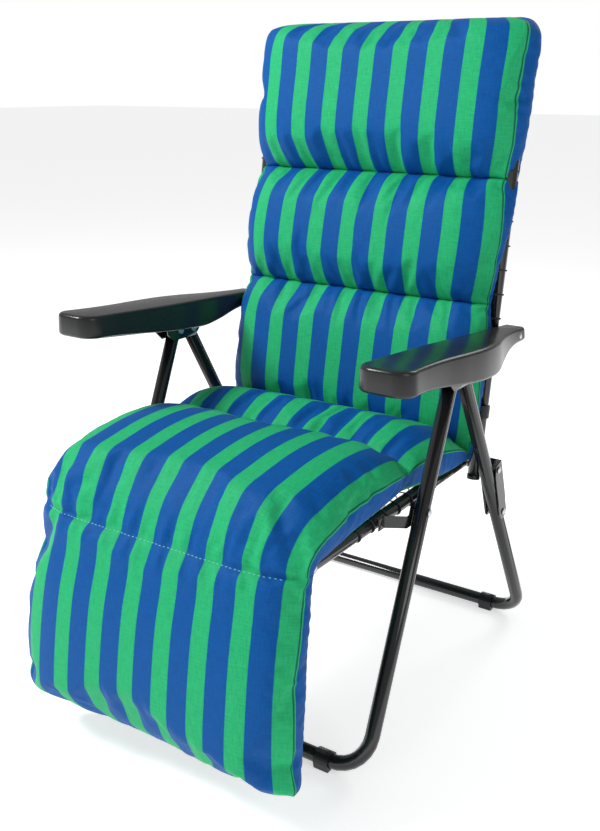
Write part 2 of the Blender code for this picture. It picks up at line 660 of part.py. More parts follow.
def make_leg_pad():
    sling = FRAME_R + PAD_CLEAR
    face = sling + LEG_PAD
    start = SEAM_GAP + FRAME_R / 2
    outline = [leg_point(start, face), leg_point(LEG_PAD_END, face), leg_point(LEG_PAD_END, sling), leg_point(start, sling)]
    make_pad("leg_pad", outline, MAT_HALF_WIDTH, "leg_rest")


def make_sling(name, near, far, tube_x, body):
    """Taut cloth between two tubes, just under the pads."""
    way = direction(near, far)
    outline = [near, far, along(far, way, 0, SLING), along(near, way, 0, SLING)]
    half = tube_x - FRAME_R - SLING_EDGE
    mesh = side_plate_mesh([outline], -half, half)
    add_part(name, mesh, sling_cloth, body)


def make_slings():
    under = FRAME_R - TOUCH
    make_sling("seat_sling", seat_point(0.085, under - SLING), seat_point(0.365, under - SLING), SEAT_X, "seat")
    make_sling("back_sling", back_point(0.170, under - SLING), back_point(0.600, under - SLING), BACK_X, "back")
    make_sling("leg_rest_sling", leg_point(0.215, under - SLING), leg_point(0.080, under - SLING), LEG_REST_X,
               "leg_rest")


def centre_on_origin():
    """Puts the middle of the whole lounger's box over the origin, front to back. Returns the shift."""
    bpy.context.view_layer.update()
    ends = []
    for part in parts.values():
        ends += [(part.matrix_world @ Vector(corner)).y for corner in part.bound_box]
    shift = -(min(ends) + max(ends)) / 2
    for holder in list(pivots.values()) + list(cutters.objects):
        holder.location.y += shift
    bpy.context.view_layer.update()
    return shift


# ---------------------------------------------------------------- build
clear_scene()
lounger = new_collection("sun_lounger")
cutters = new_collection("cutters")
black_paint = new_material("black_paint", (0.012, 0.012, 0.013), 0.28)
black_plastic = new_material("black_plastic", (0.016, 0.017, 0.018), 0.36)
zinc = new_material("zinc", (0.62, 0.63, 0.66), 0.30, 1.0)
sling_cloth = new_material("sling_cloth", (0.02, 0.02, 0.022), 0.85)
mat_fabric = new_material("mat_fabric", (0.0, 0.20, 0.42), 0.85)

pivots = {}
for body_name, pivot_point in BODY_PIVOTS.items():
    marker = bpy.data.objects.new(body_name, None)
    lounger.objects.link(marker)
    marker.location = (0.0, *pivot_point)
    pivots[body_name] = marker
bpy.context.view_layer.update()

make_leg_frame("front_leg_frame", FRONT_LEG_TOP, FRONT_FOOT, SEAT_HINGE, "front_legs")
make_leg_frame("rear_leg_frame", REAR_LEG_TOP, REAR_FOOT, LINK_HINGE, "rear_legs")
make_foot_clips("front_foot", FRONT_FOOT, "front_legs")
make_foot_clips("rear_foot", REAR_FOOT, "rear_legs")
make_arm_brackets()
make_links()
make_bolts()
make_seat_frame()
make_seat_straps()
make_u_frame("back_frame", BACK_X, BACK_HINGE, BACK_WAY, BACK_TAIL, BACK_LENGTH, BACK_CROSS_AT, "back", (BACK_HINGE,))
make_u_frame("leg_rest_frame", LEG_REST_X, LEG_REST_HINGE, LEG_REST_WAY, TOP_END, math.dist(LEG_REST_HINGE, LEG_REST_END),
             LEG_REST_CROSS_AT, "leg_rest", (LEG_REST_HINGE,))
make_tube_sleeve("back_bumper", BUMPER_AT, BUMPER_LENGTH, FRAME_TUBE + 0.0055, "back")
make_tube_sleeve("back_end_cap", -BACK_TAIL - TOUCH - CAP_LENGTH / 2, CAP_LENGTH, FRAME_TUBE + 0.001, "back", closed_end=True)
make_armrests()
make_back_pads()
make_seat_pads()
make_leg_pad()
make_slings()
print("shifted along Y by", round(centre_on_origin(), 6))
for body_name in BODY_PIVOTS:
    place = pivots[body_name].location
    print(body_name, [round(v, 6) for v in place])
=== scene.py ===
# %% [markdown]
# # A folding, reclining sun lounger with a striped padded mat
# The steel frame, the links, the bolts and plain armrests come ready made, as a frame of named bodies that
# move on joints. This lesson dresses that frame: enamel on the tubes, smoother armrests, a quilted mat
# blown up by a cloth simulation, black slings laced to the tubes, and a small studio. Everything is in
# metres, +Z is up, the sitter looks towards -Y and +X is the sitter's left.

# %% Load the frame
import json
import math

import bmesh
import bpy
import numpy as np
from mathutils import Matrix, Vector


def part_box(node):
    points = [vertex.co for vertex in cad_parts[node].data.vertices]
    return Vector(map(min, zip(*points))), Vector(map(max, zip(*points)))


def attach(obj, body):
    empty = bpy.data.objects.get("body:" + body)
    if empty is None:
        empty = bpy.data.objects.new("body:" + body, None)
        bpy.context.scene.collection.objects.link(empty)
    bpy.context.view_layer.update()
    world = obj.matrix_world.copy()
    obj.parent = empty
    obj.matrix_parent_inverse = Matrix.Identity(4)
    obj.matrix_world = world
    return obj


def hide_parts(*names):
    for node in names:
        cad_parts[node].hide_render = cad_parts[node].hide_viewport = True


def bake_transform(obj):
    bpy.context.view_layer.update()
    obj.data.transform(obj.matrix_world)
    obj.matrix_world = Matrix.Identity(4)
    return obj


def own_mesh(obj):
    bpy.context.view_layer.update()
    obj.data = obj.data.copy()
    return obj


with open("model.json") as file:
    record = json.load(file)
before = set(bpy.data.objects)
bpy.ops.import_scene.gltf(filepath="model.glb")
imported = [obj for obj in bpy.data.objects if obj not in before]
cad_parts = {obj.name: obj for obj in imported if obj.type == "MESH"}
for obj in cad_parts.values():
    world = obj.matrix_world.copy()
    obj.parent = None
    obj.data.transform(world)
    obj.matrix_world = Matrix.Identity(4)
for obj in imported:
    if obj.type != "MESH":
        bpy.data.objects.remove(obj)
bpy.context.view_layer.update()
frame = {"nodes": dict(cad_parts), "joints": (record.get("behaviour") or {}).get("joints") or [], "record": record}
record = frame["record"]
body_of = {name: body for body, names in record["behaviour"]["bodies"].items() for name in names}
slot_of = {row["node"]: row["material_slot"] for row in record["subparts"]}
pivot = {joint["name"]: Vector(joint["pos_m"]) for joint in frame["joints"]}

# %% [markdown]
# ## The camera
# The camera stands at about waist height, a little to one side, so that seat, back and both armrests all
# read. The camera is placed by its position and two angles: how far it stands round the object, and how far
# above it. Building its axes from those angles keeps the horizon level without a target, but for one small
# tilt that is turned in last.

# %% Place the camera
CAMERA_PLACE = (0.842, -1.240, 0.932)
CAMERA_ROUND = math.radians(33.93)  # from the front towards +X
CAMERA_ABOVE = math.radians(18.23)
CAMERA_TILT = math.radians(0.15)

camera = bpy.data.objects.new("camera", bpy.data.cameras.new("camera"))
bpy.context.scene.collection.objects.link(camera)
camera.data.lens = 43.89
towards = Vector((math.sin(CAMERA_ROUND) * math.cos(CAMERA_ABOVE),
                  -math.cos(CAMERA_ROUND) * math.cos(CAMERA_ABOVE), math.sin(CAMERA_ABOVE)))
sideways = Vector((math.cos(CAMERA_ROUND), math.sin(CAMERA_ROUND), 0))
level = Matrix((sideways, towards.cross(sideways), towards)).transposed()
axes = level @ Matrix.Rotation(CAMERA_TILT, 3, "Z")
camera.matrix_world = Matrix.Translation(CAMERA_PLACE) @ axes.to_4x4()
bpy.context.scene.camera = camera
print("camera at", CAMERA_PLACE)

# %% [markdown]
# ## Studio and light
# Coloured cloth is best shown on a white sweep under one large soft box, with bounced light from
# everywhere else. A big soft box high on the sitter's right gives the long highlights on the
# tubes and a soft shadow behind; a weaker one opens the shadows on the other side, and a third stands
# behind. The sky is brighter where the camera looks straight at it, so that it goes white while the cloth
# doesn't. The floor isn't, so its far part stays greyer than the sky and the horizon shows.

# %% Light the studio
def soft_box(name, place, target, size, power):
    """A square area light at place that faces target."""
    light = bpy.data.lights.new(name, "AREA")
    light.size = size
    light.energy = power
    lamp = bpy.data.objects.new(name, light)
    bpy.context.scene.collection.objects.link(lamp)
    aim = (Vector(target) - Vector(place)).to_track_quat("-Z", "Y")
    lamp.matrix_world = Matrix.Translation(place) @ aim.to_matrix().to_4x4()


soft_box("key_light", (-1.7, -1.5, 2.7), (0, 0, 0.45), 1.0, 104)
soft_box("fill_light", (2.6, -0.6, 1.7), (0, 0, 0.5), 1.4, 14)
soft_box("rim_light", (0.6, 2.4, 2.2), (0, 0, 0.6), 1.2, 16)

SEEN_SKY = 1.0
LIGHTING_SKY = 0.36
sky = bpy.data.worlds.new("studio")
bpy.context.scene.world = sky
sky.use_nodes = True
sky_nodes, sky_links = sky.node_tree.nodes, sky.node_tree.links
rays = sky_nodes.new("ShaderNodeLightPath")
strength = sky_nodes.new("ShaderNodeMapRange")
strength.inputs["To Min"].default_value = LIGHTING_SKY
strength.inputs["To Max"].default_value = SEEN_SKY
sky_links.new(rays.outputs["Is Camera Ray"], strength.inputs["Value"])
sky_links.new(strength.outputs["Result"], sky_nodes["Background"].inputs["Strength"])
sky_nodes["Background"].inputs["Color"].default_value = (1, 1, 1, 1)
bpy.context.scene.view_settings.view_transform = "Standard"
print("three soft boxes and a white sky")

# %% [markdown]
# ## Shader maths in Python
# A material is a graph of nodes, but a formula is easier to read as a formula. A small class holds one
# output of a node and overloads the operators, so that `1 - mask * 0.4` adds the Math nodes by itself. One
# method makes any other node from its type, its settings and the values or links of its sockets.

# %% Sockets that understand arithmetic
class Value:
    """One output of a node; arithmetic on it adds Math nodes."""

    def __init__(self, finish, socket):
        self.finish = finish
        self.socket = socket

    def math(self, operation, *values):
        sockets = dict(enumerate(values))
        return self.finish.make("ShaderNodeMath", {"operation": operation}, sockets).out(0)

    def __add__(self, other):
        return self.math("ADD", self, other)

    def __sub__(self, other):
        return self.math("SUBTRACT", self, other)

    def __rsub__(self, other):
        return self.math("SUBTRACT", other, self)

    def __mul__(self, other):
        return self.math("MULTIPLY", self, other)

    def __truediv__(self, other):
        return self.math("DIVIDE", self, other)

    __radd__ = __add__
    __rmul__ = __mul__

    def apply(self, operation, *others):
        """A Math node with one of Blender's named operations, such as FRACT or SINE."""
        return self.math(operation, self, *others)

    def step(self, edge, softness):
        """0 below edge and 1 above it, with a ramp of that softness between."""
        settings = {"interpolation_type": "SMOOTHSTEP"}
        limits = {0: self, 1: edge - softness / 2, 2: edge + softness / 2, 3: 0.0, 4: 1.0}
        return self.finish.make("ShaderNodeMapRange", settings, limits).out(0)


class Made:
    """A node, and its outputs as Values."""

    def __init__(self, finish, node):
        self.finish = finish
        self.node = node

    def out(self, key):
        return Value(self.finish, self.node.outputs[key])


class Finish:
    """One material, with its Principled shader ready to set."""

    def __init__(self, name, **constants):
        self.material = bpy.data.materials.new(name)
        self.material.use_nodes = True
        self.tree = self.material.node_tree
        self.shader = self.tree.nodes["Principled BSDF"]
        for key, value in constants.items():
            self.shader.inputs[key.replace("_", " ")].default_value = value

    def make(self, kind, settings=None, sockets=None):
        node = self.tree.nodes.new(kind)
        for key, value in (settings or {}).items():
            setattr(node, key, value)
        for key, value in (sockets or {}).items():
            self.join(value, node.inputs[key])
        return Made(self, node)

    def join(self, value, socket):
        if isinstance(value, Value):
            self.tree.links.new(value.socket, socket)
        else:
            socket.default_value = value

    def set(self, key, value):
        self.join(value, self.shader.inputs[key])

    def place(self):
        """Object coordinates."""
        return self.make("ShaderNodeTexCoord").out("Object")

    def noise(self, scale, detail=3.0, where=None, rough=0.5):
        sockets = {"Vector": where or self.place(), "Scale": scale, "Detail": detail, "Roughness": rough}
        return self.make("ShaderNodeTexNoise", {}, sockets).out("Fac")

    def mix(self, amount, first, second):
        """first where amount is 0, second where it is 1; both are colours."""
        colours = {0: amount, 6: first, 7: second}
        return self.make("ShaderNodeMix", {"data_type": "RGBA"}, colours).out(2)

    def bump(self, height, distance, strength=1.0):
        sockets = {"Height": height, "Distance": distance, "Strength": strength}
        self.set("Normal", self.make("ShaderNodeBump", {}, sockets).out("Normal"))


print("shader helpers ready")

# %% [markdown]
# ## Enamel, moulded plastic, zinc and sling cloth
# The tubes are stove-enamelled: a black, almost mirror-smooth coat with the faint orange-peel ripple of
# sprayed paint. The armrests are injection-moulded with a satin skin and a very fine grain. The bolts are
# zinc plated, a bluish metal whose roughness is mottled. The sling is a coarse black weave. The first three
# get their small unevenness from noise on Object coordinates, which doesn't care how a mesh is unwrapped,
# and the weave is two crossed sine waves on the same coordinates.

# %% Enamel, plastic, zinc and sling cloth
SLING_YARN = 0.0024  # one repeat of the sling's weave


def enamel():
    paint = Finish("black_enamel", Coat_Weight=0.6, Coat_Roughness=0.05, Specular_IOR_Level=0.3)
    ripple = paint.noise(260.0, 2.0)
    dust = paint.noise(38.0, 6.0, rough=0.65)
    worn = dust.step(0.66, 0.10)
    paint.set("Base Color", paint.mix(worn, (0.0085, 0.0085, 0.0095, 1), (0.020, 0.020, 0.021, 1)))
    paint.set("Roughness", 0.20 + worn * 0.14)
    paint.bump(ripple, 0.00012, 0.35)
    return paint.material


def moulded_plastic():
    skin = Finish("moulded_black_plastic", Specular_IOR_Level=0.36)
    grain = skin.noise(1500.0, 1.0)
    flow = skin.noise(24.0, 4.0)
    skin.set("Base Color", skin.mix(flow, (0.0105, 0.0110, 0.0115, 1), (0.019, 0.0195, 0.020, 1)))
    skin.set("Roughness", 0.19 + flow * 0.08)
    skin.bump(grain, 0.00008, 0.5)
    return skin.material


def zinc_plate():
    plate = Finish("zinc_plate", Metallic=1.0)
    mottle = plate.noise(420.0, 3.0)
    plate.set("Base Color", plate.mix(mottle, (0.50, 0.51, 0.54, 1), (0.72, 0.73, 0.76, 1)))
    plate.set("Roughness", 0.24 + mottle * 0.20)
    plate.bump(mottle, 0.00005, 0.4)
    return plate.material


def sling_weave():
    """A basket weave of flat yarns, worked out along X and up the cloth."""
    cloth = Finish("black_sling_weave", Roughness=0.75, Sheen_Weight=0.15)
    split = cloth.make("ShaderNodeSeparateXYZ", {}, {0: cloth.place()})
    turn = math.tau / SLING_YARN
    across = (split.out("X") * turn).apply("SINE")
    along = ((split.out("Z") + split.out("Y")) * turn).apply("SINE")
    over = (across * along) * 0.5 + 0.5
    cloth.set("Base Color", cloth.mix(over, (0.006, 0.006, 0.007, 1), (0.022, 0.022, 0.024, 1)))
    cloth.bump(over, 0.0004, 0.6)
    return cloth.material


finishes = {"black_paint": enamel(), "black_plastic": moulded_plastic(), "zinc": zinc_plate(),
            "sling_cloth": sling_weave()}
print("finishes:", ", ".join(m.name for m in finishes.values()))

# %% [markdown]
# ## The striped mat cloth
# The mat is yarn-dyed canvas: the stripes are woven in, so they follow the cloth wherever it is pulled.
# That is why the pattern reads the mesh's own UV map, laid out in metres: U runs across the cloth and V
# along it. A stripe is then one repeat of 56 mm, of which a little under half is green. The yarns show as
# a fine rib, the dye is slightly uneven from yarn to yarn, and a welted seam sinks a groove at the edge,
# along which the colour is darkened as painted shade.

# %% Weave the stripes
STRIPE_REPEAT = 0.056
GREEN_START = 0.2007
GREEN_WIDTH = 0.0263
MAT_HALF = 0.224  # half the width of the mat's face
YARN = 0.0019
YARN_STRETCH = 0.12  # a yarn's mottling is this much coarser along it than across it
STRIPE_BLUR = 0.024  # softness of a stripe's edge, as a share of the repeat
WELT_HALF = 0.0011
WELT_BLUR = 0.0012


def striped_canvas():
    canvas = Finish("striped_canvas", Sheen_Weight=0.02, Sheen_Roughness=0.4, Specular_IOR_Level=0.12)
    cloth = canvas.make("ShaderNodeUVMap", {"uv_map": "cloth"}).out("UV")
    split = canvas.make("ShaderNodeSeparateXYZ", {}, {0: cloth})
    across, along = split.out("X"), split.out("Y")
    wander = (canvas.noise(900.0, 2.0, where=cloth) - 0.5) * 0.0010
    repeat = ((across + wander - GREEN_START + 20 * STRIPE_REPEAT) / STRIPE_REPEAT).apply("FRACT")
    starts = repeat.step(STRIPE_BLUR / 2, STRIPE_BLUR)
    green = starts * (1 - repeat.step(GREEN_WIDTH / STRIPE_REPEAT, STRIPE_BLUR))
    lengthways = {"Vector": cloth, "Scale": (1 / YARN, YARN_STRETCH / YARN, 1)}
    dye = canvas.noise(1.0, 2.0, where=canvas.make("ShaderNodeMapping", {}, lengthways).out(0))
    crossways = {"Vector": cloth, "Scale": (YARN_STRETCH / YARN, 1 / YARN, 1)}
    slub = canvas.noise(1.0, 2.0, where=canvas.make("ShaderNodeMapping", {}, crossways).out(0))
    tone = dye * 0.5 + slub * 0.5
    blue_dye = canvas.mix(tone, (0.000, 0.036, 0.170, 1), (0.000, 0.110, 0.400, 1))
    green_dye = canvas.mix(tone, (0.002, 0.215, 0.070, 1), (0.030, 0.540, 0.215, 1))
    dyed = canvas.mix(green, blue_dye, green_dye)
    edge = (across.apply("ABSOLUTE") - MAT_HALF).apply("ABSOLUTE")
    welt_groove_and_painted_shade = 1 - edge.step(WELT_HALF, WELT_BLUR)
    # Painted shade: the colour is darkened along the welt's groove at the face's edge, where the bump also sinks
    # it.
    canvas.set("Base Color", canvas.mix(welt_groove_and_painted_shade * 0.75, dyed, (0.000, 0.016, 0.040, 1)))
    canvas.set("Roughness", 0.50 + slub * 0.16)
    rib = (across * (math.tau / YARN)).apply("SINE") * (along * (math.tau / YARN)).apply("SINE")
    canvas.bump(rib * 0.35 + tone * 1.2 - welt_groove_and_painted_shade * 1.5, 0.00030, 0.8)
    return canvas.material


finishes["mat_fabric"] = striped_canvas()
print("stripe repeat", STRIPE_REPEAT, "m, yarn", YARN, "m")

# %% [markdown]
# ## Dress the ready-made pieces
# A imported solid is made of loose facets. Where it is round, such as a tube or a bolt head, the facets would
# show in a gloss finish. So each hard piece but the armrests is copied, its doubled points are merged, and
# the copy is shaded smooth except at real corners. The copy then rides on the same body and stands in for
# the solid. The armrests, the mat and the slings aren't copied: they are made anew below.

# %% Smooth copies of the hard pieces
SOFT_SLOTS = ("mat_fabric", "sling_cloth")
SMOOTH_BELOW = math.radians(32)
MERGE = 0.00002


def choose(*objects):
    """Nothing selected but these, and the last one active."""
    bpy.ops.object.select_all(action="DESELECT")
    for one in objects:
        one.select_set(True)
        bpy.context.view_layer.objects.active = one


def dress(node):
    solid = frame["nodes"][node]
    shown = bpy.data.objects.new("shown_" + node, solid.data.copy())
    bpy.context.scene.collection.objects.link(shown)
    choose(shown)
    bpy.ops.object.mode_set(mode="EDIT")
    bpy.ops.mesh.select_all(action="SELECT")
    bpy.ops.mesh.remove_doubles(threshold=MERGE)
    bpy.ops.object.mode_set(mode="OBJECT")
    bpy.ops.object.shade_smooth_by_angle(angle=SMOOTH_BELOW)
    shown.data.materials.clear()
    shown.data.materials.append(finishes[slot_of[node]])
    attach(shown, body_of[node])
    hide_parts(node)


ARMS = ("armrest_left", "armrest_right")
hard = [n for n in frame["nodes"] if slot_of[n] not in SOFT_SLOTS and n not in ARMS]
for hard_node in hard:
    dress(hard_node)
print(len(hard), "hard pieces dressed")

# %% [markdown]
# ## Armrests
# A real armrest is a moulded shell: closed and flat on top, open below, with a skirt that hangs lower in
# the middle where it hides the bracket. It has to reflect like one smooth skin, so it is made anew instead
# of copied. A flat outline of many points is filled, raised into walls with one extrude, its rim is rounded
# with a bevel, and Solidify gives it its wall. The extrude leaves the first face in place, so unlike the
# real one this armrest has a floor, which the bracket and the tops of the legs pass through. Deleting that
# face before the bevel would open it. The outline is two square-set nose corners joined by curves.

# %% Mould the armrests
LEG_PLANE = 0.255  # x of the legs' side plane
ARM_MIDDLE = LEG_PLANE + 0.004
ARM_CORNER = 0.024
ARM_SLOPE = -0.070  # rise of the top from the nose back; below 0 it falls
ARM_RAISE = 0.05  # height of the first extrude, before each point takes its own
SKIRT_FLARE = 0.002
ARM_WALL = 0.0025
RIM_ROUND = 0.0032
# distance behind the nose, reach outboard of the leg plane, skirt's lower edge below the nose's top
ARM_ROWS = (
    (0.000, 0.0470, 0.0295), (0.054, 0.0415, 0.0335), (0.114, 0.0405, 0.0415), (0.174, 0.0450, 0.0505),
    (0.234, 0.0470, 0.0575), (0.284, 0.0410, 0.0610), (0.324, 0.0305, 0.0570), (0.364, 0.0220, 0.0500),
    (0.399, 0.0180, 0.0470), (0.436, 0.0170, 0.0470),
)
ARM_INNER_ROWS = ((0.000, 0.229), (0.164, 0.229), (0.314, 0.237), (0.436, 0.243))


def smooth_rows(rows, where):
    """Rows of (place, sizes...) read at every place in where, on a smooth curve through them."""
    rows = np.array(rows, float)
    knots, sizes = rows[:, 0], rows[:, 1:]
    slopes = np.gradient(sizes, knots, axis=0)
    i = np.clip(np.searchsorted(knots, where, side="right") - 1, 0, len(knots) - 2)
    width = (knots[i + 1] - knots[i])[:, None]
    t = ((where - knots[i]) / width[:, 0])[:, None]
    return ((2 * t**3 - 3 * t**2 + 1) * sizes[i] + (t**3 - 2 * t**2 + t) * width * slopes[i]
            + (3 * t**2 - 2 * t**3) * sizes[i + 1] + (t**3 - t**2) * width * slopes[i + 1])


def arm_outline():
    """(x, distance behind the nose) round the armrest, from the inner rear corner by the nose and back."""
    length = ARM_ROWS[-1][0]
    back = np.linspace(length, ARM_CORNER, 50)
    points = [(x, y) for y, (x,) in zip(back, smooth_rows(ARM_INNER_ROWS, back))]
    outer = LEG_PLANE + smooth_rows(ARM_ROWS, np.array([ARM_CORNER]))[0][0] - ARM_CORNER
    for centre, first in ((ARM_INNER_ROWS[0][1] + ARM_CORNER, 180), (outer, 270)):
        for degrees in range(first + 6, first + 90, 6):
            turn = math.radians(degrees)
            points.append((centre + ARM_CORNER * math.cos(turn), ARM_CORNER + ARM_CORNER * math.sin(turn)))
    there = np.linspace(ARM_CORNER, length, 60)
    points += [(LEG_PLANE + row[0], y) for y, row in zip(there, smooth_rows(ARM_ROWS, there))]
    return points


def mould_armrest(node, side):
    low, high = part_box(node)
    outline = arm_outline()
    bpy.ops.object.select_all(action="DESELECT")
    bpy.ops.mesh.primitive_circle_add(vertices=len(outline), radius=0.1, fill_type="NGON")
    arm = bpy.context.object
    arm.name = "shown_" + node
    bpy.ops.object.mode_set(mode="EDIT")
    bpy.ops.mesh.select_all(action="SELECT")
    bpy.ops.mesh.extrude_region_move(TRANSFORM_OT_translate={"value": (0, 0, ARM_RAISE)})
    bpy.ops.object.mode_set(mode="OBJECT")
    skirt = smooth_rows(ARM_ROWS, np.array([y for _, y in outline]))[:, 1]
    count = len(outline)
    for point in arm.data.vertices:
        number = point.index % count
        x, y = outline[number]
        raised = point.co.z > ARM_RAISE / 2
        drop = -ARM_SLOPE * y if raised else skirt[number]
        out = 0.0 if raised else math.copysign(SKIRT_FLARE, x - ARM_MIDDLE)
        point.co = (side * (x + out), low.y + y, high.z - drop)
    choose(arm)
    bpy.ops.object.mode_set(mode="EDIT")
    bpy.ops.mesh.select_all(action="SELECT")
    bpy.ops.mesh.normals_make_consistent(inside=False)
    bpy.ops.object.mode_set(mode="OBJECT")
    if max(arm.data.polygons, key=lambda f: f.area).normal.z < 0:
        arm.data.flip_normals()
    rim = arm.modifiers.new("rim", "BEVEL")
    rim.width = RIM_ROUND
    rim.segments = 5
    rim.limit_method = "ANGLE"
    rim.angle_limit = math.radians(50)
    wall = arm.modifiers.new("wall", "SOLIDIFY")
    wall.thickness = ARM_WALL
    wall.offset = -1
    for step in ("rim", "wall"):
        bpy.ops.object.modifier_apply(modifier=step)
    bpy.ops.object.shade_smooth_by_angle(angle=SMOOTH_BELOW)
    arm.data.materials.append(finishes["black_plastic"])
    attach(arm, body_of[node])
    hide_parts(node)
    print(arm.name, len(arm.data.polygons), "faces")


for arm_node, arm_side in zip(ARMS, (1, -1)):
    mould_armrest(arm_node, arm_side)

# %% [markdown]
# ## Where the mat lies
# Three straight lines in the side plane carry the mat: up the back, forward along the seat, and down the
# leg rest. Each starts at a pivot. A point on a line is so far along it, and so far out towards the sitter.

# %% Lines in the side plane
class Line:
    """A straight line in the side plane from a pivot, with the side that the sitter touches."""

    def __init__(self, start, along, out):
        self.start = np.array((start.y, start.z))
        self.along = np.array(along) / np.linalg.norm(along)
        self.out = np.array(out) / np.linalg.norm(out)

    def at(self, far, height):
        return self.start + self.along * far + self.out * height


BACK_LEAN = math.radians(9.02)
seat_run = pivot["leg_rest_lift"] - pivot["recline"]
back_line = Line(pivot["recline"], (math.sin(BACK_LEAN), math.cos(BACK_LEAN)),
                 (-math.cos(BACK_LEAN), math.sin(BACK_LEAN)))
seat_line = Line(pivot["recline"], (seat_run.y, seat_run.z), (seat_run.z, -seat_run.y))
LEG_LEAN = math.radians(8.22)
leg_line = Line(pivot["leg_rest_lift"], (-math.sin(LEG_LEAN), -math.cos(LEG_LEAN)),
                (-math.cos(LEG_LEAN), math.sin(LEG_LEAN)))
SEAT_RUN = math.hypot(seat_run.y, seat_run.z)
print("seat run", round(SEAT_RUN, 4))

# %% [markdown]
# ## How a quilted section is built
# A section is one closed skin: a face, a boxing strip down each side, and a back. Rings of points round
# the cross-section are laid along the section and joined. The heights at each ring come from a few rows of
# sizes, read as a smooth curve. Next to a sewn seam the filling is squeezed thin, so the height is
# multiplied by a pillow curve that rises steeply from the seam. Gathered cloth puckers there, so small
# ripples are added that die out away from the seam. Rings are spaced evenly along the face, which keeps
# the cells square for the cloth simulation and gives V its metres.

# %% Pillow and ripples
def pillow(share, start_power, end_power):
    """0 at both ends of a section and 1 in its middle; a higher power is a boxier end."""
    toward = np.clip(1 - 2 * share, 0, 1)
    away = np.clip(2 * share - 1, 0, 1)
    return np.sqrt(np.clip(1 - toward**start_power, 0, 1) * np.clip(1 - away**end_power, 0, 1))


def ripples(across, away, seed):
    """Puckers beside a seam: how far the face stands in or out at a distance from the seam."""
    draw = np.random.default_rng(seed)
    total = np.zeros_like(across)
    for pitch, size in ((0.019, 0.0013), (0.031, 0.0022), (0.057, 0.0026)):
        lean = draw.uniform(-0.5, 0.5)
        phase = draw.uniform(0, math.tau)
        swell = 0.6 + 0.4 * np.sin(across * draw.uniform(20, 40) + draw.uniform(0, math.tau))
        total += size * swell * np.sin(math.tau * (across + lean * away) / pitch + phase)
    reach = 0.016
    return total * (away / reach) * np.exp(1 - away / reach)


# %% [markdown]
# The ring itself: the face runs from the right edge to the left, then the boxing, the back and the other
# boxing close it. The face is highest in the middle and falls to the welted edge. The back may lift off
# the sling towards its edges, because a stuffed mat curls up there.

# %% One closed skin
CELL = 0.0056
FACE_CELLS = 80
SIDE_CELLS = 6
BOXING = 0.034  # width of cloth in a boxing strip
CROWN_POWER = 6
LIFT_POWER = 12  # how close to its edges the back starts to lift
CORNER = 0.030  # rounding of the free corners, seen from the front


def ring_layout():
    """For each point of a ring: its part, its share across (-1 to 1) and its share down the boxing."""
    across = np.linspace(-1, 1, FACE_CELLS + 1)
    down = np.linspace(0, 1, SIDE_CELLS + 1)[1:-1]
    face = [("face", x, 0.0) for x in across]
    left = [("side", 1.0, t) for t in down]
    back = [("back", x, 1.0) for x in across[::-1]]
    right = [("side", -1.0, t) for t in down[::-1]]
    return face + left + back + right


def section_heights(sizes):
    """(x, height) of every ring point from (edge, crown, back, back edge, half, back half, bulge)."""
    points = []
    edge, crown, back, back_edge, half, back_half, bulge = sizes
    for part, x, t in ring_layout():
        if part == "face":
            points.append((half * x, edge + (crown - edge) * (1 - abs(x) ** CROWN_POWER)))
        elif part == "back":
            points.append((back_half * x, back + (back_edge - back) * abs(x) ** LIFT_POWER))
        else:
            out = half + (back_half - half) * t + bulge * math.sin(math.pi * t)
            points.append((out * x, edge + (back_edge - edge) * t))
    return np.array(points)


def skin(name, spine, rows, powers, seam_height, seeds, grooves=(), free_end=False):
    """A closed section. spine(s) gives a base point and a direction out for s along it; rows give
    (s, edge, crown, back, back edge, half width, back half width, bulge); seam_height holds the share of
    the height that stays at each end."""
    layout = ring_layout()
    size = len(layout)
    fine = np.linspace(rows[0][0], rows[-1][0], 800)
    base, out = spine(fine)
    tall = smooth_rows(rows, fine)
    top = base + out * tall[:, 1:2]
    run = np.concatenate([[0], np.cumsum(np.linalg.norm(np.diff(top, axis=0), axis=1))])
    count = max(8, round(run[-1] / CELL))
    even = np.linspace(0, 1, count + 1)
    places = np.interp(even * run[-1], run, fine)
    base, out = spine(places)
    tall = smooth_rows(rows, places)
    puff = pillow(even, *powers)
    start_share, end_share = seam_height
    floor = start_share + (end_share - start_share) * even
    puff = floor + (1 - floor) * puff
    along = even * run[-1]
    is_face = np.array([part == "face" for part, _, _ in layout])
    share_across = np.array([x for _, x, _ in layout])
    if free_end:
        left_over = np.clip(1 - (run[-1] - along) / CORNER, 0, 1)
        tall[:, 4:6] -= (CORNER * (1 - np.sqrt(1 - left_over**2)) * 0.9)[:, None]
    verts = []
    for j in range(count + 1):
        edge, crown, back, back_edge, half, back_half, bulge = tall[j]
        middle = (back + back_edge) / 2
        squeeze = puff[j]
        row = (middle + (edge - middle) * squeeze, middle + (crown - middle) * squeeze, back, back_edge,
               half, back_half, bulge)
        flat = section_heights(row)
        near = along[j]
        far = run[-1] - along[j]
        height = flat[:, 1].copy()
        fade = 1 - np.abs(share_across) ** 8
        if seeds[0] is not None:
            height += is_face * fade * ripples(flat[:, 0], near, seeds[0])
        if seeds[1] is not None:
            height += is_face * fade * ripples(flat[:, 0], far, seeds[1])
        for groove_at, groove_deep, groove_wide, seed in grooves:
            off = abs(near - groove_at)
            height -= is_face * groove_deep * math.exp(-((off / groove_wide) ** 1.3))
            height += is_face * fade * ripples(flat[:, 0], off, seed) * 0.35
        point = base[j] + out[j] * height[:, None]
        verts.append(np.column_stack([flat[:, 0], point]))
    verts = np.concatenate(verts)
    sewn = [any(abs(at - groove[0]) < CELL / 2 for groove in grooves) for at in along]
    return assemble(name, verts, along, layout, sewn)


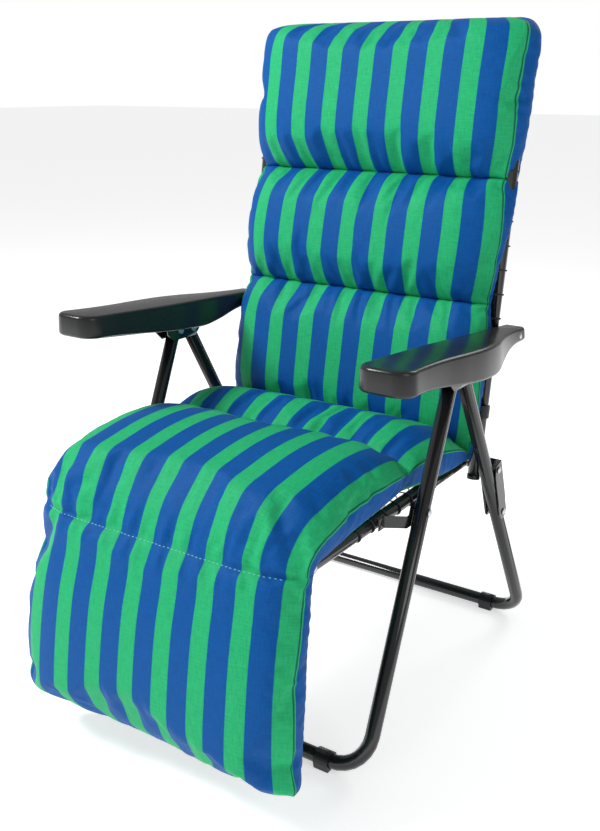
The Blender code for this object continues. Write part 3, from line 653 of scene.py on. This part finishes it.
def assemble(name, verts, along, layout, sewn):
    """Faces between the rings, a cap at each end, and the cloth map."""
    size = len(layout)
    count = len(along) - 1
    faces, maps = [], []

    def across(k, part):
        kind, x, t = layout[k]
        if part == "side":
            return math.copysign(MAT_HALF + BOXING * t, x)
        return MAT_HALF * x

    for j in range(count):
        for k in range(size):
            n = (k + 1) % size
            part = "side" if "side" in (layout[k][0], layout[n][0]) else layout[k][0]
            faces.append((j * size + k, j * size + n, (j + 1) * size + n, (j + 1) * size + k))
            u0, u1 = across(k, part), across(n, part)
            maps.append([(u0, along[j]), (u1, along[j]), (u1, along[j + 1]), (u0, along[j + 1])])
    last = FACE_CELLS
    turn = FACE_CELLS + SIDE_CELLS
    for j in (0, count):
        row = j * size
        for k in range(FACE_CELLS):
            quad = (k, k + 1, turn + last - k - 1, turn + last - k)
            faces.append(tuple(row + q for q in quad))
            maps.append([(across(q, "face"), along[j]) for q in quad])
        left = [row + k for k in range(last, turn + 1)]
        right = [row + k for k in range(turn + last, size)] + [row]
        for fan in (left, right):
            faces.append(tuple(fan))
            maps.append([(across(q - row, "side"), along[j]) for q in fan])
    mesh = bpy.data.meshes.new(name)
    mesh.from_pydata(verts.tolist(), [], faces)
    layer = mesh.uv_layers.new(name="cloth")
    flat = [uv for corners in maps for uv in corners]
    layer.data.foreach_set("uv", np.array(flat, np.float32).ravel())
    made = bmesh.new()
    made.from_mesh(mesh)
    bmesh.ops.recalc_face_normals(made, faces=made.faces)
    made.to_mesh(mesh)
    made.free()
    piece = bpy.data.objects.new(name, mesh)
    bpy.context.scene.collection.objects.link(piece)
    group = piece.vertex_groups.new(name="sewn")
    kinds = [layout[i % size][0] for i in range(len(verts))]
    ends = [i // size in (0, count) or sewn[i // size] for i in range(len(verts))]
    group.add([i for i, k in enumerate(kinds) if k == "back" or ends[i]], 1.0, "REPLACE")
    edges = [i for i, k in enumerate(kinds) if k == "side" and not ends[i]]
    group.add(edges, 0.25, "REPLACE")
    print(name, len(verts), "points,", round(along[-1], 3), "m of cloth")
    return piece


# %% [markdown]
# ## Blow it up
# A cloth simulation with a little pressure inside and no gravity swells the face between its seams, and
# cloth that is slightly too big for its shape crumples in a way that no formula does. The back, the seams
# and the ends are pinned. The result is applied, no point may move further than a cap, and one
# subdivision smooths the cells.

# %% Cloth simulation
SIM_FRAMES = 20
PRESSURE = 3.0
SLACK = 0.055  # how much too big the cloth is, as a share
SWELL_CAP = 0.012


def inflate(piece):
    before = np.empty(len(piece.data.vertices) * 3, np.float32)
    piece.data.vertices.foreach_get("co", before)
    cloth = piece.modifiers.new("cloth", "CLOTH")
    cloth.settings.use_pressure = True
    cloth.settings.uniform_pressure_force = PRESSURE
    cloth.settings.effector_weights.gravity = 0
    cloth.settings.vertex_group_mass = "sewn"
    cloth.settings.shrink_min = -SLACK
    cloth.settings.tension_stiffness = 12
    cloth.settings.compression_stiffness = 12
    cloth.settings.bending_stiffness = 0.12
    cloth.settings.quality = 5
    cloth.point_cache.frame_start = 1
    cloth.point_cache.frame_end = SIM_FRAMES
    for number in range(1, SIM_FRAMES + 1):
        bpy.context.scene.frame_set(number)
    choose(piece)
    bpy.ops.object.modifier_apply(modifier="cloth")
    bpy.context.scene.frame_set(1)
    after = np.empty_like(before)
    piece.data.vertices.foreach_get("co", after)
    move = (after - before).reshape(-1, 3)
    far = np.linalg.norm(move, axis=1)
    move *= np.minimum(1, SWELL_CAP / np.maximum(far, 1e-9))[:, None]
    piece.data.vertices.foreach_set("co", (before.reshape(-1, 3) + move).astype(np.float32).ravel())
    print(piece.name, "swelled up to", round(float(far.max()), 4), "m")
    choose(piece)
    finer = piece.modifiers.new("finer", "SUBSURF")
    finer.levels = finer.render_levels = 1
    bpy.ops.object.modifier_apply(modifier="finer")
    bpy.ops.object.shade_smooth()
    piece.vertex_groups.clear()
    piece.data.materials.append(finishes["mat_fabric"])


# %% [markdown]
# ## The back of the mat
# Three sections lie up the back: a lower one from the crease, a middle one, and the head, which on the real
# mat is a pocket pulled over the top of the back frame. There they are sewn together at deep seams. Here
# each is a closed skin of its own that runs a little past its seam, and the head's skin hides the frame.

# %% Lower, middle and head sections
SLING_TOP = 0.0115  # the mat's underside lies this far out from a line
LOWER_SEAM = 0.257
HEAD_SEAM = 0.446
HEAD_TOP = 0.686
LAP = 0.0015  # each section runs this far past the seam it shares


def straight(line):
    """The spine of a section that lies along a line."""
    def spine(s):
        return line.start + np.outer(s, line.along), np.tile(line.out, (len(s), 1))
    return spine


# (up the back, edge, crown, back, back edge, half width, half width of the back, bulge)
lower_rows = (
    (0.012, 0.030, 0.044, SLING_TOP, 0.012, 0.226, 0.224, 0.002),
    (0.070, 0.036, 0.062, SLING_TOP, 0.012, 0.232, 0.228, 0.003),
    (0.150, 0.036, 0.064, SLING_TOP, 0.0115, 0.234, 0.232, 0.003),
    (0.210, 0.034, 0.062, SLING_TOP, 0.0115, 0.233, 0.232, 0.003),
    (LOWER_SEAM + LAP, 0.031, 0.056, SLING_TOP, 0.0115, 0.226, 0.226, 0.002),
)
middle_rows = (
    (LOWER_SEAM - LAP, 0.031, 0.056, SLING_TOP, 0.0115, 0.226, 0.226, 0.002),
    (0.315, 0.031, 0.060, SLING_TOP, 0.0115, 0.233, 0.232, 0.003),
    (0.385, 0.028, 0.056, SLING_TOP, 0.0010, 0.232, 0.240, 0.004),
    (HEAD_SEAM + LAP, 0.020, 0.046, SLING_TOP, -0.0060, 0.222, 0.240, 0.004),
)
head_rows = (
    (HEAD_SEAM - LAP, 0.020, 0.046, -0.012, -0.014, 0.222, 0.234, 0.006),
    (0.500, 0.024, 0.052, -0.014, -0.016, 0.230, 0.238, 0.007),
    (0.590, 0.024, 0.051, -0.017, -0.018, 0.231, 0.240, 0.008),
    (0.655, 0.022, 0.048, -0.017, -0.018, 0.230, 0.238, 0.008),
    (HEAD_TOP, 0.020, 0.042, -0.016, -0.016, 0.224, 0.230, 0.006),
)
up_the_back = straight(back_line)
back_lower = skin("mat_back_lower", up_the_back, lower_rows, (4.0, 5.0), (0.55, 0.55), (None, 12))
back_middle = skin("mat_back_middle", up_the_back, middle_rows, (5.0, 4.0), (0.55, 0.28), (13, 14))
head = skin("mat_head", up_the_back, head_rows, (4.0, 10.0), (0.45, 0.12), (15, None), free_end=True)

# %% [markdown]
# ## The seat and the leg of the mat
# The seat has a short section at the crease and a long one that runs on round the knee and down the leg.
# The long one is a single piece of cloth, so it is one skin; it isn't tied to the leg rest and keeps its
# shape when that lifts. Its line is straight along the seat, fans round the leg-rest hinge without moving
# on, and is straight again.

# %% Rear seat, front seat, knee and leg
SEAT_SEAM = 0.2175  # from the back pivot, forward
LEG_END = 0.300


def over_the_knee(s):
    """s runs 0 to 1 on the seat, 1 to 2 round the knee and 2 to 3 down the leg."""
    up = math.atan2(seat_line.out[1], seat_line.out[0])
    front = math.atan2(leg_line.out[1], leg_line.out[0])
    turn = np.clip(s - 1, 0, 1)
    angle = up + (front - up) * turn
    out = np.column_stack([np.cos(angle), np.sin(angle)])
    corner = leg_line.start
    seat_part = np.clip(1 - s, 0, 2)[:, None] * (SEAT_SEAM - SEAT_RUN) * seat_line.along
    leg_part = np.clip(s - 2, 0, 1)[:, None] * LEG_END * leg_line.along
    return corner + seat_part + leg_part, out


rear_rows = (
    (0.012, 0.032, 0.046, SLING_TOP, 0.014, 0.226, 0.224, 0.002),
    (0.090, 0.052, 0.076, SLING_TOP, 0.018, 0.232, 0.226, 0.003),
    (0.155, 0.066, 0.095, SLING_TOP, 0.026, 0.234, 0.227, 0.003),
    (SEAT_SEAM + LAP, 0.068, 0.094, SLING_TOP, 0.032, 0.225, 0.217, 0.002),
)
front_rows = (
    (-0.01, 0.068, 0.094, SLING_TOP, 0.032, 0.225, 0.217, 0.002),
    (0.30, 0.072, 0.104, SLING_TOP, 0.034, 0.235, 0.226, 0.003),
    (0.65, 0.064, 0.102, SLING_TOP, 0.026, 0.235, 0.225, 0.003),
    (1.00, 0.050, 0.090, SLING_TOP, 0.014, 0.234, 0.224, 0.003),
    (1.50, 0.044, 0.080, SLING_TOP, 0.0115, 0.232, 0.222, 0.003),
    (2.00, 0.040, 0.072, SLING_TOP, 0.0115, 0.230, 0.221, 0.003),
    (2.12, 0.040, 0.070, SLING_TOP, 0.0115, 0.230, 0.221, 0.003),
    (2.35, 0.048, 0.078, SLING_TOP, 0.014, 0.234, 0.225, 0.003),
    (2.70, 0.051, 0.080, SLING_TOP, 0.015, 0.239, 0.230, 0.003),
    (3.00, 0.048, 0.076, SLING_TOP, 0.015, 0.243, 0.233, 0.003),
)
KNEE_SEAM_V = 0.352  # metres of cloth from the seat seam to the knee seam
seat_rear = skin("mat_seat_rear", straight(seat_line), rear_rows, (4.0, 4.0), (0.55, 0.68), (None, 22))
seat_front = skin("mat_seat_front", over_the_knee, front_rows, (5.0, 16.0), (0.68, 0.35), (23, None),
                  grooves=((KNEE_SEAM_V, 0.006, 0.008, 24),), free_end=True)

# %% [markdown]
# ## Find the knee seam
# The seam was set by its place on the cloth, in metres of V. The thread sewn later needs its place in
# space, so it is looked up once, on the middle of the face and before the cloth swells.

# %% Where the knee seam lies
def place_of_seam(piece, v):
    """How far down the leg line the middle of a face lies at that V of its cloth map."""
    layer = piece.data.uv_layers["cloth"].data
    best = min((abs(layer[i].uv.y - v) + abs(layer[i].uv.x), loop.vertex_index)
               for i, loop in enumerate(piece.data.loops) if abs(layer[i].uv.x) < 0.01)
    point = piece.data.vertices[best[1]].co
    return float((np.array((point.y, point.z)) - leg_line.start) @ leg_line.along)


KNEE_SEAM_DOWN = place_of_seam(seat_front, KNEE_SEAM_V)
print("knee seam", round(KNEE_SEAM_DOWN, 3), "m below the leg-rest hinge")

# %% [markdown]
# ## Finish the mat
# The simulation runs now, before any piece is tied to the frame, because riding needs the final mesh.
# The back's lower section and the rear of the seat meet in the crease. When the lounger folds, that corner
# closes, and real stuffing is crushed there; here both sections only get a mesh of their own and keep
# their shape.

# %% Inflate and fasten
mat = (back_lower, back_middle, head, seat_rear, seat_front)
for section in mat:
    inflate(section)


def flatten_with_fold(piece, line):
    sling = line.at(0.1, SLING_TOP)
    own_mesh(piece)


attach(back_lower, "back")
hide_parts("back_pad_lower", "fold_pad_rear")
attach(back_middle, "back")
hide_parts("back_pad_middle")
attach(head, "back")
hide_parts("head_pad")
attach(seat_rear, "seat")
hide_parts("seat_pad_rear")
flatten_with_fold(back_lower, back_line)
flatten_with_fold(seat_rear, seat_line)
knee_start = (0, *seat_line.at(SEAT_RUN - 0.09, 0.06))
knee_end = (0, *leg_line.at(0.07, 0.03))
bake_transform(seat_front)
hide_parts("seat_pad_front", "fold_pad_knee", "leg_pad")
print("mat fastened")

# %% [markdown]
# ## Slings
# Under the mat each frame is covered by a sheet of black cloth, stretched between the side tubes. A
# sheet is a grid subdivided finely enough to show that its sides pull in a little, in scallops. Their
# number isn't tied to that of the cords, so the two don't line up.

# %% Make the slings
SLING_HEIGHT = 0.0088  # of the sheet's middle over its line
SLING_THICK = 0.0012
SCALLOP = 0.006
SAG = 0.0015


def sling(name, node, line, body, first, last, height, half, scallops):
    """A stretched sheet from first to last along a line, its sides scalloped between the cords."""
    bpy.ops.object.select_all(action="DESELECT")
    bpy.ops.mesh.primitive_grid_add(x_subdivisions=40, y_subdivisions=48, size=2)
    sheet = bpy.context.object
    sheet.name = name
    length = last - first
    for point in sheet.data.vertices:
        x, y = point.co.x, point.co.y
        far = first + length * (y + 1) / 2
        pull = SCALLOP * (1 - abs(math.cos(math.pi * scallops * (y + 1) / 2))) * abs(x) ** 6
        sag = SAG * (1 - x * x) * (1 - y * y)
        place = line.at(far, height - sag)
        point.co = (x * half - math.copysign(pull, x), place[0], place[1])
    choose(sheet)
    solid = sheet.modifiers.new("thickness", "SOLIDIFY")
    solid.thickness = SLING_THICK
    solid.offset = 0
    bpy.ops.object.modifier_apply(modifier="thickness")
    bpy.ops.object.shade_smooth_by_angle(angle=SMOOTH_BELOW)
    sheet.data.materials.append(finishes["sling_cloth"])
    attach(sheet, body)
    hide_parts(node)
    2 * half
    body + "_frame"
    print(name, "flat size", round(2 * half, 3), "x", round(length, 3))


# (body, line, first, last, height, half width, scallops)
SLINGS = (
    ("back", back_line, 0.170, 0.600, SLING_HEIGHT, 0.2095, 8),
    ("seat", seat_line, 0.085, 0.365, SLING_HEIGHT - 0.0015, 0.186, 6),
    ("leg_rest", leg_line, 0.080, 0.215, SLING_HEIGHT, 0.1625, 3),
)
for body, line, *sizes in SLINGS:
    sling("sling_" + body, body + "_sling", line, body, *sizes)

# %% [markdown]
# ## Lacing
# A sling is held to its tubes by loops of elastic cord through eyelets in its hem. One loop is a torus
# drawn out sideways, so that it reaches from the hem round the tube. The eyelets aren't modelled. Every
# loop is a torus of its own, shaped where it lies, and all are joined into one piece for each sling.

# %% Lace the slings to the tubes
LOOP_PITCH = 0.036
CORD_RADIUS = 0.0013
TUBE_RADIUS = 0.010
HEM_TO_TUBE = 0.018  # from the sheet's edge to the middle of the tube
HEM_END = 0.010  # from the sheet's end to the first loop's stretch
HEM_REACH = 0.006  # how far a loop's middle lies inboard of the tube's
TORUS_SLIM = 10  # the ring's radius over its tube's, before it is drawn out


def lace(name, line, body, tube_x, first, last, height):
    """Loops round both side tubes between two places on a line, joined into one piece."""
    count = max(2, round((last - first) / LOOP_PITCH))
    loops = []
    for side in (-1, 1):
        for number in range(count):
            far = first + (last - first) * (number + 0.5) / count
            bpy.ops.object.select_all(action="DESELECT")
            bpy.ops.mesh.primitive_torus_add(major_segments=28, minor_segments=8, major_radius=1,
                                             minor_radius=1 / TORUS_SLIM)
            loop = bpy.context.object
            reach = TUBE_RADIUS + CORD_RADIUS
            half_wide = reach + HEM_REACH
            for point in loop.data.vertices:
                ring = Vector((point.co.x, point.co.y, 0))
                centre = ring.normalized()
                thick = (ring - centre) * TORUS_SLIM * CORD_RADIUS
                x = side * (tube_x - HEM_REACH) + centre.x * half_wide + thick.x
                lift = centre.y * reach + thick.y
                inward = 0.5 - 0.5 * centre.x * side
                lift += (height - lift) * inward ** 2
                place = line.at(far + point.co.z * TORUS_SLIM * CORD_RADIUS, lift)
                point.co = (x, place[0], place[1])
            loops.append(loop)
    choose(*loops)
    bpy.ops.object.join()
    laced = bpy.context.object
    laced.name = name
    bpy.ops.object.mode_set(mode="EDIT")
    bpy.ops.mesh.select_all(action="SELECT")
    bpy.ops.mesh.normals_make_consistent(inside=False)
    bpy.ops.object.mode_set(mode="OBJECT")
    bpy.ops.object.shade_smooth()
    laced.data.materials.clear()
    laced.data.materials.append(finishes["sling_cloth"])
    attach(laced, body)
    print(name, 2 * count, "loops")


for body, line, first, last, height, half, _ in SLINGS:
    lace("lacing_" + body, line, body, half + HEM_TO_TUBE, first + HEM_END, last - HEM_END, height)

# %% [markdown]
# ## Topstitching on the knee seam
# The seam below the knee is sewn through with a teal thread. Each stitch is a short rounded bar laid on the
# cloth. Its place is found by looking at the finished skin from outside, so the row follows every crumple.

# %% Sew the knee seam
STITCH_LENGTH = 0.0042
STITCH_PITCH = 0.0068
STITCH_RADIUS = 0.00055
STITCH_SUNK = 0.4  # a stitch's middle stands this share of its radius off the cloth
SEAM_HALF = 0.205


def thread():
    yarn = Finish("pale_thread", Roughness=0.6)
    yarn.set("Base Color", yarn.mix(yarn.noise(700.0, 2.0), (0.10, 0.42, 0.40, 1), (0.24, 0.62, 0.58, 1)))
    return yarn.material


def nearest_on(piece, far, x):
    """The outermost point of a piece at x, looking in at a place down the leg line."""
    outside, inside = leg_line.at(far, 0.2), leg_line.at(far, 0.0)
    aim = Vector((0, *(inside - outside))).normalized()
    hit, place, normal, _ = piece.ray_cast(Vector((x, *outside)), aim)
    return (place, normal) if hit else (None, None)


def sew(name, piece, far, half):
    stitches = []
    count = int(2 * half / STITCH_PITCH)
    for number in range(count):
        x = -half + 2 * half * (number + 0.5) / count
        place, normal = nearest_on(piece, far, x)
        if place is None:
            continue
        bpy.ops.object.select_all(action="DESELECT")
        bpy.ops.mesh.primitive_uv_sphere_add(segments=8, ring_count=6, radius=1)
        stitch = bpy.context.object
        for point in stitch.data.vertices:
            ball = point.co
            point.co = (ball.x * STITCH_LENGTH / 2, ball.y * STITCH_RADIUS, ball.z * STITCH_RADIUS)
        stitch.data.transform(Matrix.Translation(place + normal * STITCH_RADIUS * STITCH_SUNK))
        stitches.append(stitch)
    choose(*stitches)
    bpy.ops.object.join()
    row = bpy.context.object
    row.name = name
    bpy.ops.object.shade_smooth()
    row.data.materials.clear()
    row.data.materials.append(thread())
    print(name, len(stitches), "stitches")
    return row


bpy.context.view_layer.update()
knee_stitches = sew("knee_topstitch", seat_front, KNEE_SEAM_DOWN, SEAM_HALF)
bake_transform(knee_stitches)

# %% [markdown]
# ## The floor
# A plain pale floor takes the shadow. It isn't part of the lounger.

# %% Lay the floor
bpy.ops.object.select_all(action="DESELECT")
bpy.ops.mesh.primitive_plane_add(size=60, location=(0, 0, -0.0005))
floor = bpy.context.object
floor.name = "studio_floor"
paper = Finish("studio_paper", Roughness=0.9, Specular_IOR_Level=0.1, Emission_Strength=0.56,
               Emission_Color=(1, 1, 1, 1))
paper.set("Base Color", paper.mix(paper.noise(3.0, 2.0), (0.90, 0.90, 0.90, 1), (0.93, 0.93, 0.93, 1)))
floor.data.materials.append(paper.material)
